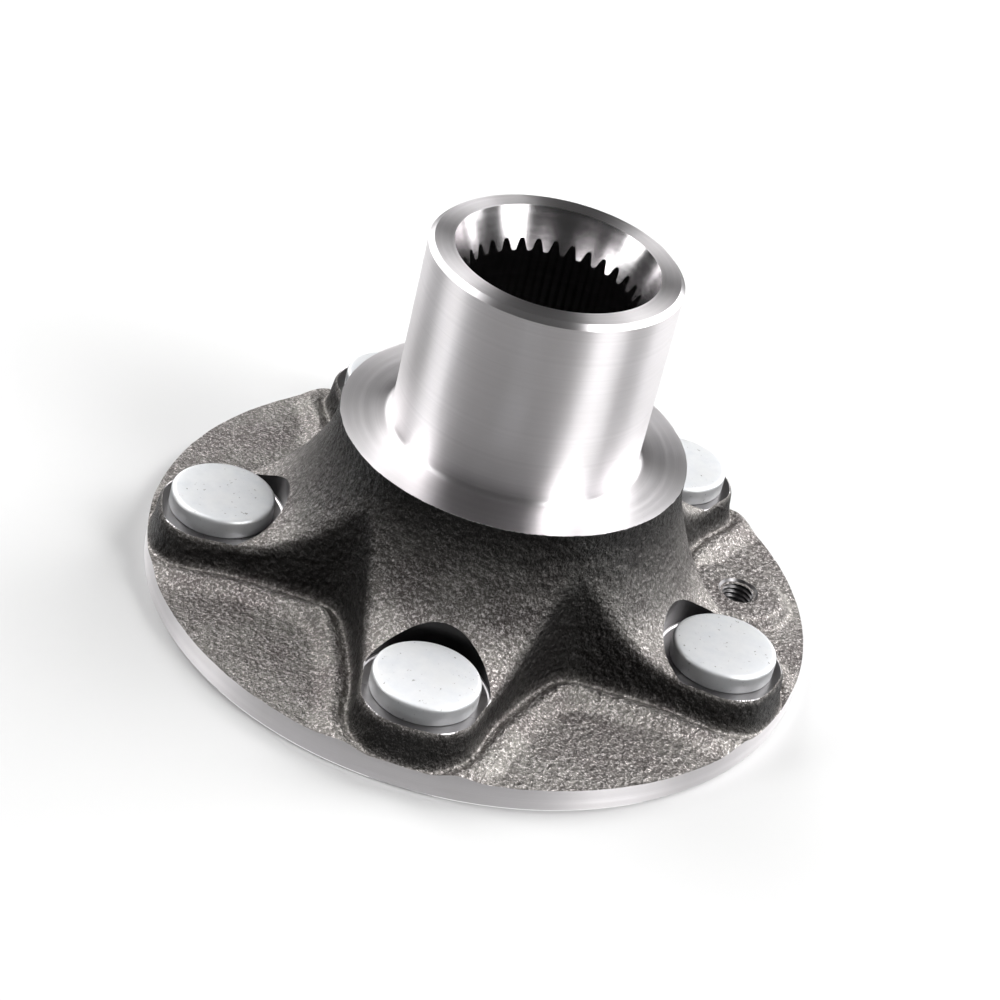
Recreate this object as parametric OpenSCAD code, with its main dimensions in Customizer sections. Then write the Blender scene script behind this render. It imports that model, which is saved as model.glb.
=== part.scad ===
// Driven wheel hub with five wheel studs pressed into its flange.
// Millimetres. +Z points inboard along the bearing seat, and z = 0 is the face the wheel bears on.

/* [Flange] */
// Diameter of the turned flange rim
flange_d = 150; // [149:0.5:160]
// Height of the turned rim band
rim_h = 5.65; // [4.5:0.05:6.5]
// Chamfer on the outboard edge of the rim
rim_chamfer = 0.6; // [0.3:0.1:1.2]

/* [Wheel studs] */
// Diameter of the circle through the stud axes
bolt_circle_d = 120; // [116:0.5:120]
// Major diameter of the stud thread
thread_d = 14; // [12:0.5:14]
// Diameter of the knurled shoulder that grips the flange
knurl_d = 14.4; // [14.2:0.1:15.5]
// Diameter of the stud head
head_d = 23; // [21:0.25:24]
// Height of the stud head
head_h = 4.6; // [3.5:0.1:6]
// Chamfer round the top of the stud head
head_chamfer = 0.8; // [0.4:0.1:1.2]
// Length of the stud below its head
shank_l = 56; // [45:1:65]
// Length of the knurled shoulder
knurl_l = 12.5; // [9:0.5:13]
// Depth of the neck between the knurled shoulder and the thread, below the thread's crests
neck_cut = 0.5; // [0.3:0.1:0.8]
// Chamfer at the free end of the stud
tip_chamfer = 1.6; // [1:0.1:2.2]

/* [Stud seats] */
// Height of the spot-faced seat under each stud head
seat_z = 14.2; // [13:0.1:15.5]
// Gap between a stud head and the wall of its spot face
seat_gap = 2.5; // [1.5:0.1:2.8]
// Countersink at the outboard end of each stud hole
stud_sink = 0.9; // [0.5:0.1:1.5]

/* [Bearing seat] */
// Diameter of the ground seat for the bearing
snout_d = 55; // [50:0.5:58]
// Height of the inboard end above the wheel face
hub_h = 87.5; // [82:0.5:95]
// Chamfer at the inboard end
snout_chamfer = 1.1; // [0.6:0.1:2]
// Fillet between the seat and the shoulder
seat_fillet = 1.6; // [1:0.1:3]
// Height of the shoulder that the bearing stands against
shoulder_z = 43.5; // [40:0.5:46]
// Diameter of the turned shoulder face
shoulder_d = 76.7; // [74:0.1:79]

/* [Forging] */
// Metal left between a spot face and the side wall of its boss
boss_rim = 0.3; // [0.2:0.1:1]
// Height of the forged boss above the spot face
boss_proud = 0.6; // [0.4:0.1:1]
// Distance from the shoulder edge to where the flare has levelled out on the boss
flare_l = 22.5; // [20:0.5:24]
// Draft of the side walls of the bosses and ribs
draft = 6.5; // [5:0.5:9]
// Distance from the shoulder edge to the inner end of each pocket
pocket_inset = 3.8; // [3:0.1:5]
// Rounding of the inner end of each pocket
pocket_round = 6.3; // [4:0.1:9]
// How fast each pocket opens towards the rim, as a slope
pocket_slope = 0.78; // [0.7:0.01:0.82]
// Distance from the rim to the side wall of a boss, at the height of the stud seat
rim_gap = 1.5; // [1.4:0.05:2]
// Rounding of each boss where it comes close to the rim
rim_blend = 1; // [0.5:0.25:3]
// Rounding along the top edges of the ribs
ridge_round = 1.8; // [1:0.1:2.4]
// Rounding at the foot of the side walls
foot_round = 0.8; // [0.5:0.1:1]
// Height of the forged web where it meets the rim
web_rise = 0.15; // [0.1:0.05:0.4]
// Rise of the web from the rim to the pocket walls
web_slope_h = 1.1; // [0.6:0.1:1.4]
// Height of the lip along the sides of a pocket, above the web
lip_side_h = 0.7; // [0.5:0.1:1.1]
// Height of the lip at the inner end of a pocket, above the web
lip_arch_h = 2.2; // [1.5:0.1:2.8]
// Distance from the pocket wall to the crest of the lip, at the inner end of a pocket
lip_inset = 2.1; // [1.9:0.1:2.6]
// Distance from the side wall of a boss to the crest of the lip
boss_lip_inset = 1.6; // [1.5:0.1:2.2]

/* [Splined bore] */
// Number of spline teeth
spline_teeth = 32; // [28:1:36]
// Diameter at the bottom of the spline grooves
spline_root_d = 39.1; // [38:0.1:41]
// Diameter over the tips of the spline teeth
spline_tip_d = 37.1; // [36:0.1:37.6]
// Direction of the first groove, seen from the inboard end
spline_phase = 8.8; // [0:0.1:11]
// Diameter of the lead-in cone at the inboard end
mouth_d = 44.4; // [43:0.1:46]
// Depth of the lead-in cone down to the spline grooves
mouth_l = 6.7; // [5:0.1:9]

/* [Outboard side] */
// Diameter of the spigot that centres the wheel
pilot_d = 72.55; // [66:0.05:73]
// Height of the spigot beyond the wheel face
pilot_h = 9; // [6:0.5:12]
// Chamfer on the spigot
pilot_chamfer = 1.5; // [0.8:0.1:2.5]
// Diameter of the recess for the axle nut
nut_recess_d = 52; // [48:0.5:56]
// Height of the flat that the axle nut clamps
nut_seat_z = 12; // [8:0.5:16]

/* [Disc screw hole] */
// Radius of the circle on which the screw hole lies
screw_r = 60; // [58:0.25:61]
// Nominal diameter of the screw
screw_d = 8; // [6:0.5:8]
// Wall left by the thread inside the nominal diameter
thread_depth = 0.6; // [0.4:0.05:0.7]
// Height of the pad round the screw hole
pad_z = 8.5; // [8:0.1:9.5]
// Diameter of the pad at its top
pad_d = 22.4; // [20:0.2:23]
// Flare of the pad from its top to its foot
pad_flare = 0.9; // [0.5:0.1:1.2]

/* [Hidden] */
$fn = 96;

stud_count = 5;
first_stud = 270;
sector = 360 / stud_count;
half_sector = sector / 2;
// The screw hole lies midway between the second and the third stud
screw_angle = first_stud + 1.5 * sector;

flange_r = flange_d / 2;
stud_r = bolt_circle_d / 2;
seat_r = head_d / 2 + seat_gap;
boss_r = seat_r + boss_rim;
boss_z = seat_z + boss_proud;
barrel_step = 0.4;
barrel_inset = 0.2;
barrel_r = shoulder_d / 2 + barrel_inset;
barrel_z = shoulder_z - barrel_step;
flare_end_r = barrel_r + flare_l;
pocket_r = shoulder_d / 2 + pocket_inset;
wall_slope = 1 / tan(draft);
rim_wall_r = flange_r - rim_gap;
web_z = rim_h + web_rise;

// Points over half a sector: along the side of a pocket, then round the boss
side_points = 13;
boss_points = 10;
// Rows across the skin, and how strongly they crowd towards the start of the flare and of the web
flare_rows = 7;
flare_crowding = 2;
ridge_steps = 3;
web_rows = 3;
web_crowding = 1.3;
valley_depth = 0.4;
lip_width = 3.6;
// Angle off the middle of a pocket over which its lip sinks to the height along the sides
lip_fade = 14;
// Section of the lip, as shares of its width past the crest and of its height
lip_section = [[-0.1, 0.85], [0.15, 1], [0.45, 0.55], [1, 0.05]];
rim_ledge = 0.4;
skin_reach = 8;
skin_base = rim_h / 3;

function ease(x) = x <= 0 ? 0 : x >= 1 ? 1 : x * x * (3 - 2 * x);
function polar(r, a) = [r * cos(a), r * sin(a)];
function angle_of(p) = atan2(p[1], p[0]);
function bezier(a, b, c, t) = a * (1 - t) * (1 - t) + b * 2 * t * (1 - t) + c * t * t;
// The smaller of two lengths, rounded where they cross
function soft_min(a, b, k) = min(a, b) - pow(max(k - abs(a - b), 0), 2) / (4 * k);

// Height of the flare that every rib follows, an ellipse from the barrel to the boss
function flare_z(r) = r >= flare_end_r ? boss_z
    : boss_z + (barrel_z - boss_z) * (1 - sqrt(1 - pow((flare_end_r - r) / flare_l, 2)));

// Height of the web under the lip, falling to the rim in a gentle curve
function web(r) =
    let (t = max(0, min(1, (flange_r - r) / (flange_r - pocket_r))))
    web_z + web_slope_h * t * (2 - t);

// Inner end and side of a pocket, as a rounded V seen from above, at q degrees off its middle
function arch_r(q) =
    let (a = pow(cos(q), 2) - pow(pocket_slope * sin(q), 2),
         g = pocket_round - pocket_r,
         b = 2 * g * cos(q),
         c = g * g - pocket_round * pocket_round)
    (-b + sqrt(b * b - 4 * a * c)) / (2 * a);

// Where the side of a pocket comes closest to the stud, and passes into the round of the boss
stud_axis = polar(stud_r, half_sector);
scan_step = 0.1;
scan = [for (q = [0 : scan_step : half_sector]) norm(polar(arch_r(q), q) - stud_axis)];
meet_q = scan_step * search(min(scan), scan)[0];
meet_a = angle_of(polar(arch_r(meet_q), meet_q) - stud_axis) - half_sector;

// Foot of the side walls, brought down to the height of the stud seat, over half a sector
half_outline = concat(
    [for (i = [0 : side_points - 1]) let (q = meet_q * i / side_points) polar(arch_r(q), q)],
    [for (i = [0 : boss_points])
        let (p = stud_axis + polar(boss_r, half_sector + meet_a * (1 - i / boss_points)))
        p * soft_min(norm(p), rim_wall_r, rim_blend) / norm(p)]);

// Whole outline round the flange, one sector after the other
half_count = len(half_outline) - 1;
mirrored = [for (i = [half_count : -1 : 1]) [half_outline[i][0], -half_outline[i][1]]];
sector_outline = concat(mirrored, [for (i = [0 : half_count - 1]) half_outline[i]]);
outline = [for (s = [0 : stud_count - 1], p = sector_outline)
    let (a = first_stud + half_sector + s * sector)
    [p[0] * cos(a) - p[1] * sin(a), p[0] * sin(a) + p[1] * cos(a)]];

// Height of the lip, tall at the inner end of the pocket and low along its sides
function lip_h(q) = lip_side_h + (lip_arch_h - lip_side_h) * (1 - ease(q / lip_fade));

// Distance from the outline back to the ridge, where the wall runs up into the flare
function ridge_d(p, out, d = 0, passes = 8) = passes == 0 ? d
    : ridge_d(p, out, (seat_z - flare_z(max(barrel_r, norm(p + out * d)))) / wall_slope, passes - 1);

// Heights of the foot and the lip, as pairs of distance from the outline and height
function foot_and_lip(r, q) =
    let (valley_z = max(web(r) - valley_depth, web_z - web_rise / 2),
         foot = [(seat_z - valley_z) / wall_slope, valley_z],
         above = foot + [-foot_round / wall_slope, foot_round],
         beyond = foot + [foot_round / 4, 0],
         crest_d = lip_inset + (boss_lip_inset - lip_inset) * ease(q / half_sector))
    concat([above, bezier(above, foot, beyond, 0.5), beyond],
        [for (s = lip_section) [crest_d + s[0] * lip_width, web(r) + s[1] * lip_h(q)]]);

// One line of points across the skin, from the barrel over the ridge and the lip to past the rim
function skin_line(p, out, q) =
    let (d = ridge_d(p, out),
         ridge = p + out * d,
         back = min(ridge_round, (norm(ridge) - barrel_r) / 4),
         start = ridge - out * back,
         start_r = norm(start),
         top = [for (j = [0 : flare_rows])
             let (r = barrel_r + (start_r - barrel_r) * pow(j / flare_rows, flare_crowding))
             concat(start * r / start_r, flare_z(r))],
         wall_z = seat_z - wall_slope * d,
         below = concat(ridge + out * (ridge_round / wall_slope), wall_z - ridge_round),
         lip = [for (h = foot_and_lip(norm(p), q)) concat(p + out * h[0], h[1])],
         edge = [lip[len(lip) - 1][0], lip[len(lip) - 1][1]],
         edge_r = norm(edge),
         end_r = max(flange_r, edge_r) + skin_reach)
    concat(top,
        [for (t = [1 : ridge_steps])
            bezier(top[flare_rows], concat(ridge, wall_z), below, t / ridge_steps)],
        lip,
        [for (t = [1 : web_rows])
            let (r = edge_r + (end_r - edge_r) * pow(t / web_rows, web_crowding))
            concat(edge * r / edge_r, web(r))]);

// The forged skin as one closed solid, with a flat base inside the flange disc
module forged_skin() {
    count = len(outline);
    lines = [for (i = [0 : count - 1])
        let (along = outline[(i + 1) % count] - outline[(i + count - 1) % count],
             out = [along[1], -along[0]] / norm(along),
             q = abs(angle_of(sector_outline[i % len(sector_outline)])))
        skin_line(outline[i], out, q)];
    rows = len(lines[0]);
    skin = [for (line = lines, p = line) p];
    base = [for (line = lines) [line[rows - 1][0], line[rows - 1][1], skin_base]];
    polyhedron(
        points = concat(skin, base),
        faces = concat(
            [for (i = [0 : count - 1], j = [0 : rows - 2])
                let (a = i * rows + j, b = (i + 1) % count * rows + j) [a, b, b + 1]],
            [for (i = [0 : count - 1], j = [0 : rows - 2])
                let (a = i * rows + j, b = (i + 1) % count * rows + j) [a, b + 1, a + 1]],
            [for (i = [0 : count - 1])
                let (k = (i + 1) % count) [i * rows + rows - 1, k * rows + rows - 1, count * rows + k]],
            [for (i = [0 : count - 1])
                let (k = (i + 1) % count) [i * rows + rows - 1, count * rows + k, count * rows + i]],
            [[for (i = [count - 1 : -1 : 0]) i * rows]],
            [[for (i = [0 : count - 1]) count * rows + i]]));
}

// Turned inboard end: shoulder face, fillet, bearing seat and end chamfer
module bearing_seat() {
    s = snout_d / 2;
    f = seat_fillet;
    root_z = barrel_z - 2;
    rotate_extrude()
        polygon(concat(
            [[0, root_z], [shoulder_d / 2, root_z], [shoulder_d / 2, shoulder_z]],
            [for (a = [0 : 15 : 90]) [s + f - f * sin(a), shoulder_z + f - f * cos(a)]],
            [[s, hub_h - snout_chamfer], [s - snout_chamfer, hub_h], [0, hub_h]]));
}

// Turned outboard end: flange disc and the spigot that centres the wheel
module wheel_face() {
    rotate_extrude()
        polygon([[0, -pilot_h], [pilot_d / 2 - pilot_chamfer, -pilot_h],
                 [pilot_d / 2, -pilot_h + pilot_chamfer], [pilot_d / 2, 0],
                 [flange_r - rim_chamfer, 0], [flange_r, rim_chamfer],
                 [flange_r, rim_h], [0, rim_h]]);
}

// Raised pad round the screw hole
module screw_pad() {
    rotate(screw_angle) translate([screw_r, 0, skin_base])
        cylinder(d1 = pad_d + 2 * pad_flare * (pad_z - skin_base) / (pad_z - web_z), d2 = pad_d,
                 h = pad_z - skin_base);
}

// Grooves of the spline, cut right through
module spline_bore(z0, z1) {
    pitch = 360 / spline_teeth;
    // Half widths of a groove at the tooth tips and at its floor, as shares of the pitch
    wide = 0.37;
    narrow = 0.12;
    translate([0, 0, z0])
        linear_extrude(z1 - z0)
            polygon([for (i = [0 : spline_teeth - 1], p = [[-wide, 0], [-narrow, 1], [narrow, 1], [wide, 0]])
                let (r = (p[1] == 1 ? spline_root_d : spline_tip_d) / 2,
                     a = spline_phase + pitch * (i + p[0]))
                polar(r, a)]);
}

// Lead-in cone, which runs on past the grooves until it meets the tooth tips
module bore_mouth() {
    over = 1;
    past_tips = 0.4;
    slope = (mouth_d - spline_root_d) / 2 / mouth_l;
    low_r = spline_tip_d / 2 - past_tips;
    depth = (mouth_d / 2 - low_r) / slope;
    translate([0, 0, hub_h - depth])
        cylinder(r1 = low_r, r2 = mouth_d / 2 + over * slope, h = depth + over);
}

module stud_hole() {
    over = 1;
    translate([stud_r, 0, -over]) cylinder(d = knurl_d, h = seat_z + 2 * over);
    translate([stud_r, 0, seat_z]) cylinder(r = seat_r, h = shoulder_z);
    translate([stud_r, 0, -over])
        cylinder(d1 = knurl_d + 2 * (stud_sink + over), d2 = knurl_d, h = stud_sink + over);
}

module screw_hole() {
    over = 1;
    sink = 0.7;
    tap_d = screw_d - 2 * thread_depth;
    translate([screw_r, 0, -over]) cylinder(d = tap_d, h = pad_z + 2 * over);
    for (side = [[-over, 1, 0], [pad_z + over, 0, 1]])
        translate([screw_r, 0, side[0] - side[2] * (sink + over)])
            cylinder(d1 = tap_d + side[1] * 2 * (sink + over), d2 = tap_d + side[2] * 2 * (sink + over),
                     h = sink + over);
}

module hub() {
    over = 1;
    color([0.45, 0.43, 0.42])
        difference() {
            union() {
                wheel_face();
                bearing_seat();
                intersection() {
                    forged_skin();
                    cylinder(r = flange_r - rim_ledge, h = hub_h);
                }
                screw_pad();
            }
            for (i = [0 : stud_count - 1]) rotate(first_stud + i * sector) stud_hole();
            rotate(screw_angle) screw_hole();
            spline_bore(nut_seat_z - over, hub_h + over);
            bore_mouth();
            translate([0, 0, -pilot_h - over]) cylinder(d = nut_recess_d, h = pilot_h + over + nut_seat_z);
        }
}

// One stud: head on its spot face, knurled shoulder in the flange, thread from the wheel face on
module wheel_stud(i) {
    t = thread_d / 2;
    n = t - neck_cut;
    k = knurl_d / 2;
    h = head_d / 2;
    tip_z = seat_z - shank_l;
    knurl_z = seat_z - knurl_l;
    color([0.82, 0.83, 0.84])
        rotate(first_stud + (i - 1) * sector) translate([stud_r, 0, 0])
            rotate_extrude()
                polygon([[0, tip_z], [t - tip_chamfer, tip_z], [t, tip_z + tip_chamfer], [t, 0],
                         [n, neck_cut], [n, knurl_z - (k - n)], [k, knurl_z], [k, seat_z],
                         [h, seat_z], [h, seat_z + head_h - head_chamfer],
                         [h - head_chamfer, seat_z + head_h], [0, seat_z + head_h]]);
}

hub();
wheel_stud(1);  // wheel_stud_1
wheel_stud(2);  // wheel_stud_2
wheel_stud(3);  // wheel_stud_3
wheel_stud(4);  // wheel_stud_4
wheel_stud(5);  // wheel_stud_5
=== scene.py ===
import math

import bpy
import numpy as np
from mathutils import Euler, Matrix, Vector, noise

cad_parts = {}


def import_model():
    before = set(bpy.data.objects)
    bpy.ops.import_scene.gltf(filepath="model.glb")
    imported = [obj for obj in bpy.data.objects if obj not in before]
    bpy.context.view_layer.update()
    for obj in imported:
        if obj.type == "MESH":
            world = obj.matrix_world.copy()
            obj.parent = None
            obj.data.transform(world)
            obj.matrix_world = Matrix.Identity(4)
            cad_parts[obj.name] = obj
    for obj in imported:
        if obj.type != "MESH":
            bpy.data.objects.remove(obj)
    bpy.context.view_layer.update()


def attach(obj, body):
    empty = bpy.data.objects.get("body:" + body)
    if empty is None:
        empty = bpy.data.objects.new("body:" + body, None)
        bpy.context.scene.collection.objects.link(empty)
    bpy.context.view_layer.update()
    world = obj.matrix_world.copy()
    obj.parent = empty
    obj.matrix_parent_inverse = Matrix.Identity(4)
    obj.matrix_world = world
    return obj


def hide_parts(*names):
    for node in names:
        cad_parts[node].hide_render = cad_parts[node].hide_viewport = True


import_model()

MM = 0.001

# Flange, studs' places and shoulder: sizes in millimetres, as in the part's source
FLANGE_R = 75.0
RIM_H = 5.65
RIM_CHAMFER = 0.6
STUD_CIRCLE_R = 60.0
STUD_COUNT = 5
FIRST_STUD = 270.0
SECTOR = 360.0 / STUD_COUNT
HALF_SECTOR = SECTOR / 2
SEAT_Z = 14.2
SPOT_R = 14.0
SNOUT_R = 27.5
HUB_TOP = 87.5
SNOUT_CHAMFER = 1.1
SEAT_FILLET = 1.6
SHOULDER_Z = 43.5
SHOULDER_R = 38.35

# Bore, wheel side and screw hole
TEETH = 32
SPLINE_ROOT_R = 19.55
SPLINE_TIP_R = 18.55
SPLINE_PHASE = 8.8
MOUTH_R = 22.2
MOUTH_L = 6.7
BORE_CHAMFER = 0.6
PILOT_R = 36.275
PILOT_H = 9.0
PILOT_CHAMFER = 1.5
NUT_RECESS_R = 26.0
NUT_SEAT_Z = 12.0
RECESS_CHAMFER = 0.8
SCREW_ANGLE = FIRST_STUD + 1.5 * SECTOR - 360.0
SCREW_R = 60.0
SCREW_CORE_R = 3.4
SCREW_MAJOR_R = 3.95
SCREW_PITCH = 1.25
PAD_Z = 8.5
PAD_R = 11.2
STUD_HOLE_R = 7.25
STUD_SINK_R = 9.15
STUD_SINK_Z = 0.9

# Studs
HEAD_R = 11.5
HEAD_H = 4.6
EDGE_ROUND = 0.9
THREAD_R = 7.0
THREAD_PITCH = 1.5
THREAD_DEPTH = 0.9
NECK_R = THREAD_R - 0.5
KNURL_R = 7.2
KNURL_END_Z = SEAT_Z - 12.5
KNURL_PATTERN = (0.05, -0.06, -0.17, -0.06)
STUD_TIP_Z = SEAT_Z - 56.0
TIP_CHAMFER = 1.6

# Forged skin: bosses, flare, pockets with drafted walls, and the dished web that meets the rim
BOSS_R = SPOT_R + 0.3
BOSS_Z = SEAT_Z + 0.6
BARREL_R = SHOULDER_R + 0.2
BARREL_Z = SHOULDER_Z - 0.4
BARREL_HEIGHTS = (HUB_TOP + 2, 50, 46, 44.8, 44.2, 43.8, 43.4)
FLARE_L = 22.5
FLARE_END_R = BARREL_R + FLARE_L
DRAFT = 6.5
WALL_SLOPE = 1 / math.tan(math.radians(DRAFT))
POCKET_R = SHOULDER_R + 3.8
POCKET_ROUND = 6.3
POCKET_SLOPE = 0.78
RIM_WALL_R = FLANGE_R - 1.5
RIM_BLEND = 1.0
RIDGE_ROUND = 2.2
FOOT_ROUND = 3.0
FOOT_REACH = 0.9
WEB_Z = RIM_H + 0.08
WEB_SLOPE_H = 1.1
SKIN_LOWEST = WEB_Z - 0.1

# Valley and lip along the foot of the pocket walls
VALLEY_DEPTH = 0.3
VALLEY_SHARE = 0.62
LIP_SIDE_H = 1.9
LIP_ARCH_H = 3.2
LIP_INSET = 4.2
BOSS_LIP_INSET = 3.6
LIP_WIDTH = 6.0
LIP_FADE = 14.0
LIP_OUT_FROM = 23.0
LIP_OUT_TO = 33.0
LIP_FALL = 1.25

# Blend of the pad round the screw hole into the web
PAD_DROP = 4.2
PAD_BLEND_IN = 1.3
PAD_BLEND_W = 4.6
PAD_SOFTNESS = 0.7

# Waves and lumps of the skin: height and length of each
WAVE_H, WAVE_L = 0.10, 4.1
LUMP_H, LUMP_L = 0.07, 1.7
LUMP_SHIFT = Vector((9, 4, 2))

# Points along and across the skin, and how they are spread and evened out
SIDE_POINTS = 44
BOSS_POINTS = 28
FLARE_ROWS = 34
FLARE_SPREAD = 1.5
RIDGE_ROWS = 7
WALL_ROWS = 4
FOOT_ROWS = 5
LIP_ROWS = 18
LIP_SPREAD = 1.2
WEB_ROWS = 22
CORNER_SPREAD = 11.0
EVEN_ALONG = 4
EVEN_CORNERS = 36
EVEN_DIRECTIONS = 12

# Working values of the modelling: overlap of cuts, welding distance in metres, shading angle
PAST_CUT = 3.0
WELD = 2e-6
TURNED_WELD = 1e-6
FLAT_WITHIN = 0.01
SMOOTH_ANGLE = math.radians(34)

# Order of the finishes on the hub
FORGED, GROUND, TURNED, CONE, BORE, SPOT, TAPPED = range(7)

# Machined finishes: tone, roughness, lines per metre, depth of the lines in metres, spread of the gloss
MACHINED = {
    "ground_seat": (0.79, 0.36, 9000.0, 0.00001, 0.95),
    "turned_faces": (0.76, 0.34, 5200.0, 0.00001, 0.95),
    "lead_in_cone": (0.79, 0.2, 5200.0, 0.000003, 0.6),
    # The low tones of the bore, the spot faces and the tapped hole are painted shade inside those
    # recesses
    "broached_bore": (0.2, 0.22, 2600.0, 0.00001, 0.0),
    "spot_faces": (0.38, 0.30, 5200.0, 0.00001, 0.0),
    "tapped_hole": (0.18, 0.32, 2600.0, 0.00001, 0.0),
}
# Finishes with painted shade on their steep walls
PAINTED_SHADE_FINISHES = ("spot_faces", "tapped_hole")

# Tints
PLAIN = (1.0, 1.0, 1.0)
ROSY = (1.01, 0.98, 1.0)

# Slope, as the height of the surface's normal, and the share of the tone there:
# painted shade on steep walls, stud sides and recess walls, and a painted highlight on the forging's
# lip crests and ridge rounds
FORGED_PAINTED_SHADE_AND_HIGHLIGHT = [(0.0, 0.03), (0.12, 0.05), (0.35, 0.16), (0.6, 0.32), (0.8, 0.8), (0.92, 1.0),
                     (0.985, 0.8), (1.0, 0.66)]
RECESS_PAINTED_SHADE = [(0.1, 0.12), (0.7, 1.0)]
ZINC_SIDE_PAINTED_SHADE = [(0.0, 0.46), (0.5, 0.6), (0.95, 1.0)]

# Bench: heights and radii in millimetres, its tone in the hub's light and to the camera
BENCH_Z = -0.15
OPENING_R = 74.4
BENCH_RADII = (90.0, 200.0, 800.0, 3000.0)
FLOOR_TONE = 0.1
FLOOR_SEEN = 0.72

# Glow that metal mirrors from the bench, by distance from the hub as a share of MIRRORED_FAR metres
MIRRORED_FAR = 0.3
# A painted bright band just outside the rim, then a painted shadow round the hub, seen only in
# reflections
MIRRORED_STOPS = [(0.28, 0.6), (0.32, 0.03), (0.36, 0.04), (0.5, 0.29), (0.7, 0.48), (1.0, 0.53)]

# Studio walls: radius in metres, azimuth in degrees and brightness, and where the ceiling begins
WALL_R = 2.9
WALL_STRENGTH = 4.5
WALL_STOPS = [(0, 0.04), (14, 0.04), (24, 1.0), (60, 1.0), (70, 0.01), (114, 0.01), (124, 0.6),
              (152, 0.6), (159, 0.01), (178, 0.01), (183, 1.0), (201, 1.0), (208, 0.005),
              (319, 0.005), (325, 1.0), (347, 1.0), (354, 0.04)]
CEILING_TONE = 0.03
CEILING_SHARE = [(0.78, 0.0), (0.90, 1.0)]

# World: strength away from the camera and mirrors, and what those see on top
WORLD_DIM = 0.3
WORLD_SEEN_MORE = 0.7

# Lamps: azimuth and elevation in degrees, side of the square in metres, power in watts
LAMP_DISTANCE = 1.6
LAMPS = {
    "left_box": (145, 48, 0.6, 4.5),
    "right_box": (30, 48, 0.6, 4.5),
    "front_box": (334, 45, 0.45, 5.5),
}

# Camera: place in metres, turn in degrees and lens in millimetres, fitted to the photograph's circles
CAMERA_PLACE = (0.044189, -0.505896, 0.354763)
CAMERA_TURN = (56.2138, -11.8377, 12.7521)
SENSOR_W = 36.0
LENS = 98.45


# Handling of pieces

def deselect():
    if bpy.context.object and bpy.context.object.mode != "OBJECT":
        bpy.ops.object.mode_set(mode="OBJECT")
    bpy.ops.object.select_all(action="DESELECT")


def activate(piece):
    deselect()
    piece.select_set(True)
    bpy.context.view_layer.objects.active = piece


def edit(piece):
    activate(piece)
    bpy.ops.object.mode_set(mode="EDIT")


def leave():
    """Ends the editing of a piece's mesh."""
    bpy.ops.object.mode_set(mode="OBJECT")


def named(name):
    """The primitive just added, under its own name."""
    piece = bpy.context.object
    piece.name = name
    piece.data.name = name
    return piece


def settle(piece):
    """Puts the piece's place into its mesh, with the object at the origin."""
    activate(piece)
    bpy.ops.object.transform_apply(location=True, rotation=True, scale=True)
    return piece


def weld(within):
    """Joins the points of the piece being edited that lie on each other."""
    bpy.ops.mesh.select_all(action="SELECT")
    bpy.ops.mesh.remove_doubles(threshold=within)


def fill_ends():
    """Closes the open ends of the piece being edited."""
    bpy.ops.mesh.select_all(action="SELECT")
    bpy.ops.mesh.fill_holes(sides=0)


def face_outward():
    """Turns every face of the piece being edited outward."""
    bpy.ops.mesh.select_all(action="SELECT")
    bpy.ops.mesh.normals_make_consistent(inside=False)


def smooth(piece):
    """Smooth shading, with edges sharper than SMOOTH_ANGLE kept crisp."""
    activate(piece)
    bpy.ops.object.shade_smooth_by_angle(angle=SMOOTH_ANGLE)


def mesh_values(parts, what):
    """One vector per vertex or face, as rows."""
    values = np.empty(len(parts) * 3)
    parts.foreach_get(what, values)
    return values.reshape(-1, 3)


def folded(name, points):
    """A grid folded round into a closed skin. points holds its columns, each a line of points."""
    columns, rows = points.shape[:2]
    deselect()
    bpy.ops.mesh.primitive_grid_add(x_subdivisions=columns, y_subdivisions=rows - 1, size=1)
    piece = named(name)
    mesh = piece.data
    flat = mesh_values(mesh.vertices, "co")
    col = np.rint((flat[:, 0] + 0.5) * columns).astype(int)
    row = np.rint((flat[:, 1] + 0.5) * (rows - 1)).astype(int)
    mesh.vertices.foreach_set("co", (points[col % columns, row] * MM).ravel())
    mesh.update()
    edit(piece)
    weld(WELD)
    fill_ends()
    bpy.ops.mesh.select_all(action="SELECT")
    bpy.ops.mesh.quads_convert_to_tris()
    face_outward()
    leave()
    return piece


# The forged skin, as it leaves the dies

def clamp(x):
    return min(max(x, 0.0), 1.0)


def ease(x):
    x = clamp(x)
    return x * x * (3 - 2 * x)


def soft_min(a, b, k):
    """The smaller of a and b, blended where they are within k of each other."""
    return min(a, b) - max(k - abs(a - b), 0.0) ** 2 / (4 * k)


def polar(r, degrees):
    return np.array([r * math.cos(math.radians(degrees)), r * math.sin(math.radians(degrees))])


def angle_of(p):
    return math.degrees(math.atan2(p[1], p[0]))


def stud_angle(i):
    return FIRST_STUD + i * SECTOR


def flare_z(r):
    """Height of the flare, a quarter of an ellipse from the barrel down to the bosses."""
    if r >= FLARE_END_R:
        return BOSS_Z
    fall = 1 - math.sqrt(max(0.0, 1 - ((FLARE_END_R - r) / FLARE_L) ** 2))
    return BOSS_Z + (BARREL_Z - BOSS_Z) * fall


def web(r):
    """Height of the web, which rises from the rim towards the inner end of the pockets."""
    t = clamp((FLANGE_R - r) / (FLANGE_R - POCKET_R))
    return WEB_Z + WEB_SLOPE_H * t * (2 - t)


def arch_r(q):
    """Inner end and side of a pocket, a rounded V seen from above, q degrees off its middle."""
    c, s = math.cos(math.radians(q)), math.sin(math.radians(q))
    a = c * c - (POCKET_SLOPE * s) ** 2
    g = POCKET_ROUND - POCKET_R
    return (-2 * g * c + math.sqrt(4 * g * g * c * c - 4 * a * (g * g - POCKET_ROUND ** 2))) / (2 * a)


def lip_h(q):
    """Height of the lip, tall at the inner end of a pocket and gone beside the bosses."""
    side = LIP_SIDE_H * (1 - ease((q - LIP_OUT_FROM) / (LIP_OUT_TO - LIP_OUT_FROM)))
    return side + (LIP_ARCH_H - LIP_SIDE_H) * (1 - ease(q / LIP_FADE))


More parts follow.
